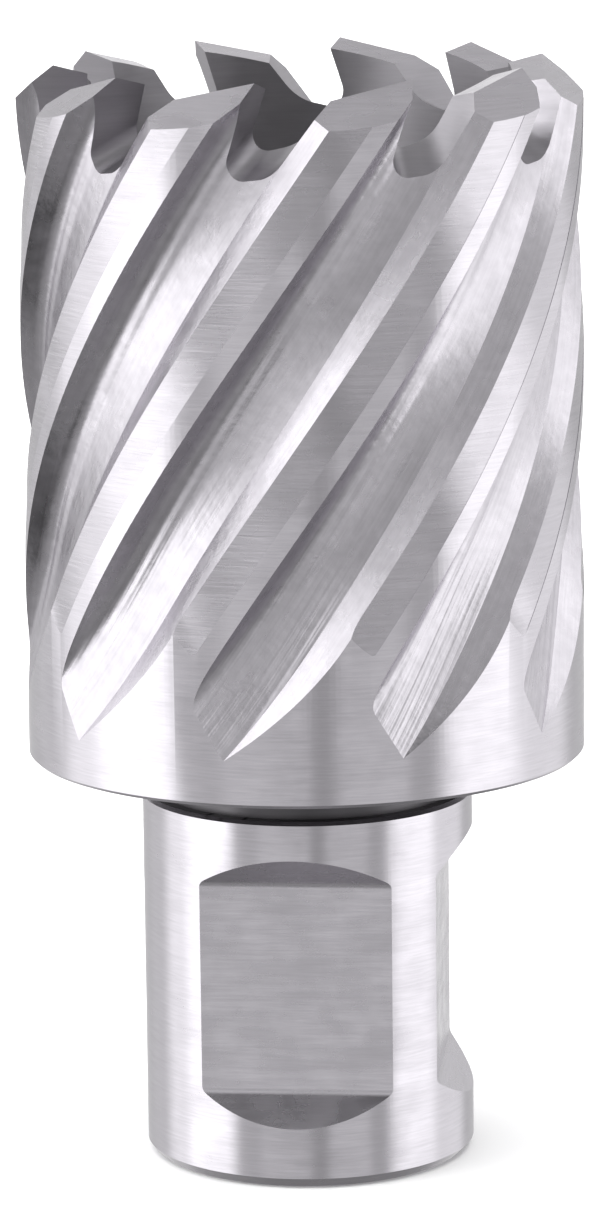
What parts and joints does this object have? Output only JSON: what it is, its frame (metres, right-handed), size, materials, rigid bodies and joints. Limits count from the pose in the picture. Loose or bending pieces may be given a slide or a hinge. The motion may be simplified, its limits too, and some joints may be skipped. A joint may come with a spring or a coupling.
{
  "type": "annular cutter",
  "caption": "Hollow steel core drill with helical flutes and hooked teeth round the open end, on a round shank with two clamping flats.",
  "frame": {"origin": "centre of the shank's end face, on the axis of rotation", "axes": "+Z along the axis from the shank to the tooth tips; -Y points between the two clamping flats"},
  "size_m": [0.032, 0.032, 0.0633],
  "materials": {
    "steel": "bright ground tool steel"
  },
  "bodies": {
    "root": {"cutter": "steel"}
  },
  "joints": []
}
